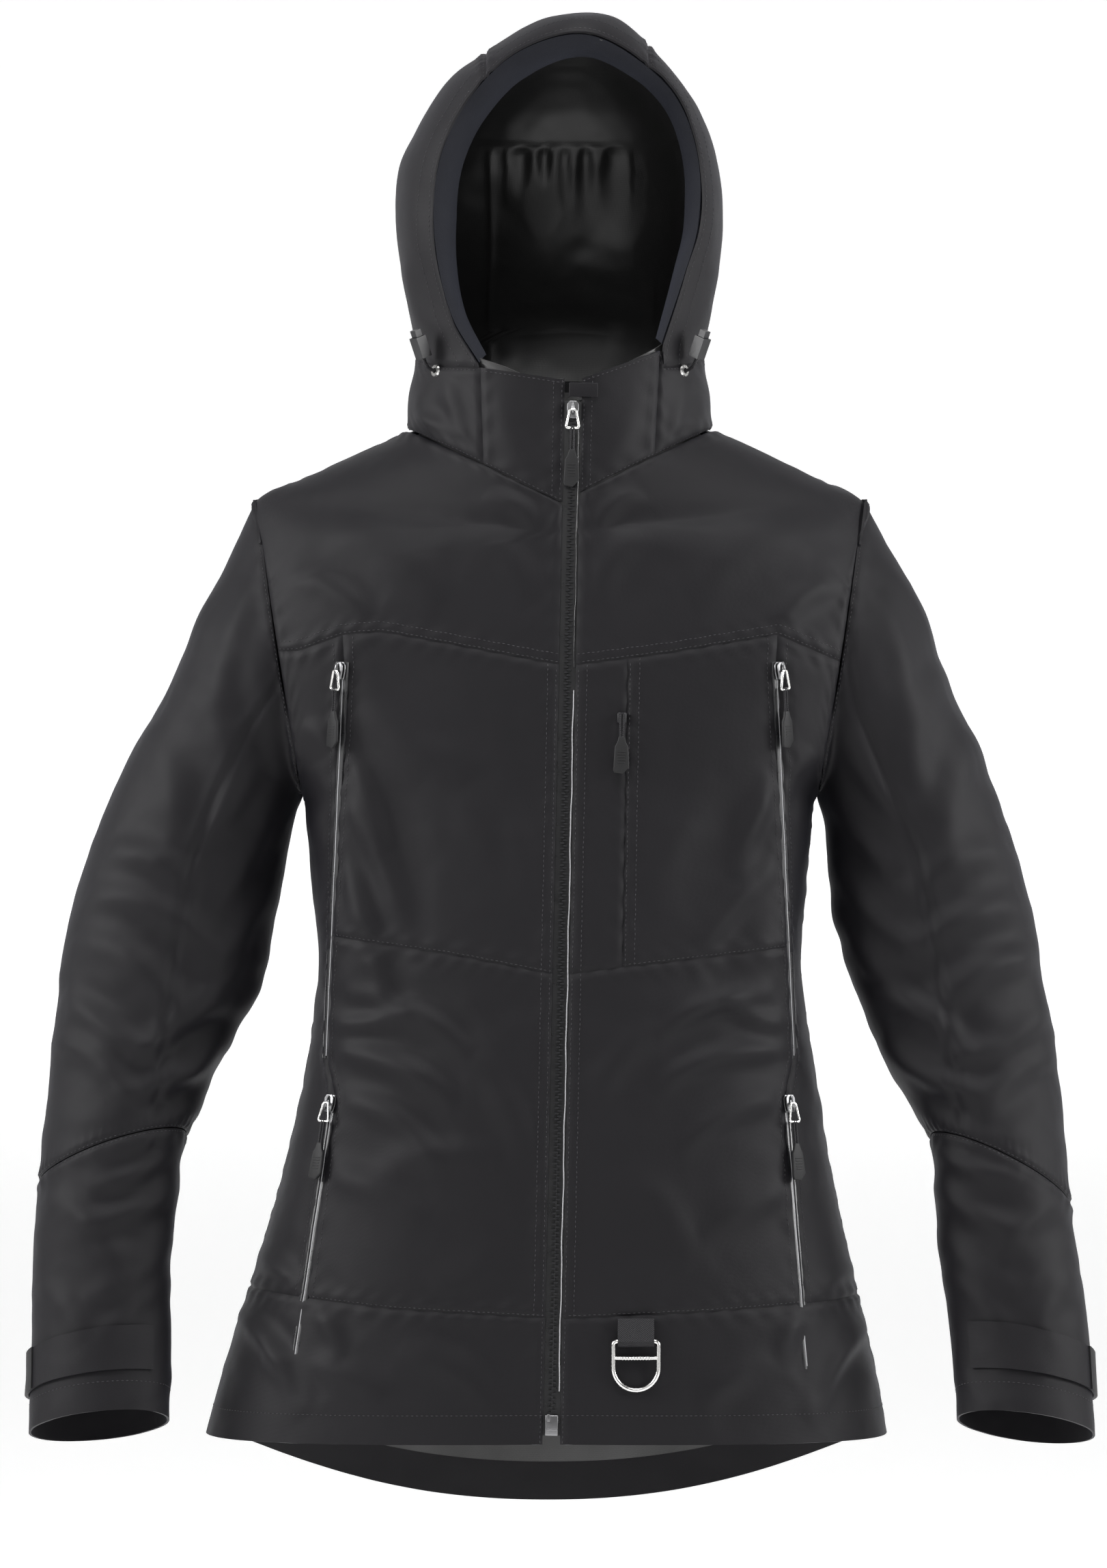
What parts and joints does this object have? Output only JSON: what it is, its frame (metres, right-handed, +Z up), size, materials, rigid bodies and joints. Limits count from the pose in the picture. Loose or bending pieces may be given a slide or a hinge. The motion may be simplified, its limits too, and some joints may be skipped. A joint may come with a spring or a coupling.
{
  "type": "hooded ski jacket",
  "caption": "Hooded shell jacket with a full front zip, side vents, hand pockets, a chest pocket, cuff tabs, a dropped back hem and a lift-pass ring.",
  "frame": {"origin": "the hanger loop at the inside of the back neck, at the ends of the loop", "axes": "+Z up, -Y out of the jacket's front, +X to the wearer's left"},
  "size_m": [0.7419, 0.2595, 1.0541],
  "materials": {
    "shell_cloth": "matte micro-weave softshell",
    "lining_cloth": "satin",
    "webbing": "woven",
    "zip_tape": "coated",
    "zip_coil": "gloss",
    "nickel": "polished nickel",
    "dark_nickel": "gunmetal",
    "rubber": "matte",
    "plastic": "matte"
  },
  "bodies": {
    "root": {"yoke_right": "shell_cloth", "yoke_left": "shell_cloth", "back_panel": "shell_cloth", "chest_right": "shell_cloth", "chest_left": "shell_cloth", "chest_pocket_panel": "shell_cloth", "lower_front_right": "shell_cloth", "lower_front_left": "shell_cloth", "side_panel_right": "shell_cloth", "side_panel_left": "shell_cloth", "hem_right": "shell_cloth", "hem_left": "shell_cloth", "hem_back": "shell_cloth", "body_lining": "lining_cloth", "collar_front_right": "shell_cloth", "collar_front_left": "shell_cloth", "collar_wrap": "shell_cloth", "hood_centre": "shell_cloth", "hood_right": "shell_cloth", "hood_left": "shell_cloth", "hood_lining": "lining_cloth", "main_zip_tape_right": "zip_tape", "main_zip_tape_left": "zip_tape", "main_zip_coil": "zip_coil", "main_zip_retainer": "dark_nickel", "zip_garage": "shell_cloth", "vent_zip_right": "zip_coil", "vent_zip_left": "zip_coil", "pocket_zip_right": "zip_coil", "pocket_zip_left": "zip_coil", "ring_webbing": "webbing", "eyelet_right": "nickel", "eyelet_left": "nickel", "hood_cord_right": "webbing", "hood_cord_left": "webbing", "cord_lock_right": "plastic", "cord_lock_left": "plastic", "hanger_loop": "webbing"},
    "right_sleeve": {"upper_sleeve_right": "shell_cloth", "forearm_sleeve_right": "shell_cloth"},
    "left_sleeve": {"upper_sleeve_left": "shell_cloth", "forearm_sleeve_left": "shell_cloth"},
    "right_cuff_tab": {"cuff_tab_right": "rubber"},
    "left_cuff_tab": {"cuff_tab_left": "rubber"},
    "main_slider": {"main_zip_slider": "dark_nickel"},
    "main_pull": {"main_zip_bail": "nickel", "main_zip_tab": "rubber"},
    "right_vent_slider": {"vent_zip_right_slider": "dark_nickel"},
    "right_vent_pull": {"vent_zip_right_pull": "nickel"},
    "left_vent_slider": {"vent_zip_left_slider": "dark_nickel"},
    "left_vent_pull": {"vent_zip_left_pull": "nickel"},
    "right_pocket_slider": {"pocket_zip_right_slider": "dark_nickel"},
    "right_pocket_pull": {"pocket_zip_right_pull": "nickel"},
    "left_pocket_slider": {"pocket_zip_left_slider": "dark_nickel"},
    "left_pocket_pull": {"pocket_zip_left_pull": "nickel"},
    "chest_slider": {"chest_zip_slider": "plastic"},
    "chest_pull": {"chest_zip_pull": "rubber"},
    "pass_ring": {"lift_pass_ring": "nickel"},
    "right_lock_plunger": {"cord_lock_plunger_right": "plastic"},
    "left_lock_plunger": {"cord_lock_plunger_left": "plastic"}
  },
  "joints": [
    {"name": "right_sleeve_swing", "type": "hinge", "parent": "root", "child": "right_sleeve", "pos_m": [-0.197, -0.0572, -0.1845], "axis": [-0.988, 0, -0.1542], "range_deg": [-20, 35]},
    {"name": "left_sleeve_swing", "type": "hinge", "parent": "root", "child": "left_sleeve", "pos_m": [0.197, -0.0572, -0.1845], "axis": [-0.988, 0, 0.1542], "range_deg": [-20, 35]},
    {"name": "right_cuff_tab_open", "type": "hinge", "parent": "right_sleeve", "child": "right_cuff_tab", "pos_m": [-0.28171, -0.14747, -0.68597], "axis": [0.014, 0.1715, 0.9851], "range_deg": [0, 85]},
    {"name": "left_cuff_tab_open", "type": "hinge", "parent": "left_sleeve", "child": "left_cuff_tab", "pos_m": [0.28398, -0.14717, -0.68616], "axis": [0.0707, -0.1811, -0.9809], "range_deg": [0, 85]},
    {"name": "main_zip_slide", "type": "slide", "parent": "root", "child": "main_slider", "axis": [-0.0211, -0.0562, -0.9982], "range_m": [0, 0.684]},
    {"name": "main_pull_swing", "type": "hinge", "parent": "main_slider", "child": "main_pull", "pos_m": [0.00888, -0.15053, -0.02271], "axis": [-0.9998, 0, 0.0211], "range_deg": [0, 90]},
    {"name": "right_vent_slide", "type": "slide", "parent": "root", "child": "right_vent_slider", "axis": [-0.047, 0.0877, -0.995], "range_m": [0, 0.235]},
    {"name": "right_vent_pull_swing", "type": "hinge", "parent": "right_vent_slider", "child": "right_vent_pull", "pos_m": [-0.15513, -0.14547, -0.20311], "axis": [-0.6507, 0.7531, 0.0972], "range_deg": [0, 90]},
    {"name": "left_vent_slide", "type": "slide", "parent": "root", "child": "left_vent_slider", "axis": [0.047, 0.0877, -0.995], "range_m": [0, 0.235]},
    {"name": "left_vent_pull_swing", "type": "hinge", "parent": "left_vent_slider", "child": "left_vent_pull", "pos_m": [0.15513, -0.14547, -0.20311], "axis": [-0.6507, -0.7531, -0.0972], "range_deg": [0, 90]},
    {"name": "right_pocket_slide", "type": "slide", "parent": "root", "child": "right_pocket_slider", "axis": [-0.1455, -0.1062, -0.9836], "range_m": [0, 0.176]},
    {"name": "right_pocket_pull_swing", "type": "hinge", "parent": "right_pocket_slider", "child": "right_pocket_pull", "pos_m": [-0.16191, -0.13625, -0.50179], "axis": [-0.7753, 0.6298, 0.0467], "range_deg": [0, 90]},
    {"name": "left_pocket_slide", "type": "slide", "parent": "root", "child": "left_pocket_slider", "axis": [0.0748, -0.1071, -0.9914], "range_m": [0, 0.176]},
    {"name": "left_pocket_pull_swing", "type": "hinge", "parent": "left_pocket_slider", "child": "left_pocket_pull", "pos_m": [0.16136, -0.13625, -0.50211], "axis": [-0.7762, -0.6305, 0.0095], "range_deg": [0, 90]},
    {"name": "chest_zip_slide", "type": "slide", "parent": "root", "child": "chest_slider", "axis": [-0.0198, -0.0516, -0.9985], "range_m": [0, 0.15]},
    {"name": "chest_pull_swing", "type": "hinge", "parent": "chest_slider", "child": "chest_pull", "pos_m": [0.04276, -0.16152, -0.23478], "axis": [-0.9993, -0.03, 0.0214], "range_deg": [0, 90]},
    {"name": "pass_ring_swing", "type": "hinge", "parent": "root", "child": "pass_ring", "pos_m": [0.052, -0.18475, -0.6635], "axis": [-1, 0, 0], "range_deg": [0, 95]},
    {"name": "right_lock_press", "type": "slide", "parent": "root", "child": "right_lock_plunger", "axis": [0.3014, 0.2157, -0.9288], "range_m": [0, 0.003], "stiffness_N_per_m": 500, "springref_m": -0.001},
    {"name": "left_lock_press", "type": "slide", "parent": "root", "child": "left_lock_plunger", "axis": [-0.3162, 0.2254, -0.9215], "range_m": [0, 0.003], "stiffness_N_per_m": 500, "springref_m": -0.001}
  ]
}
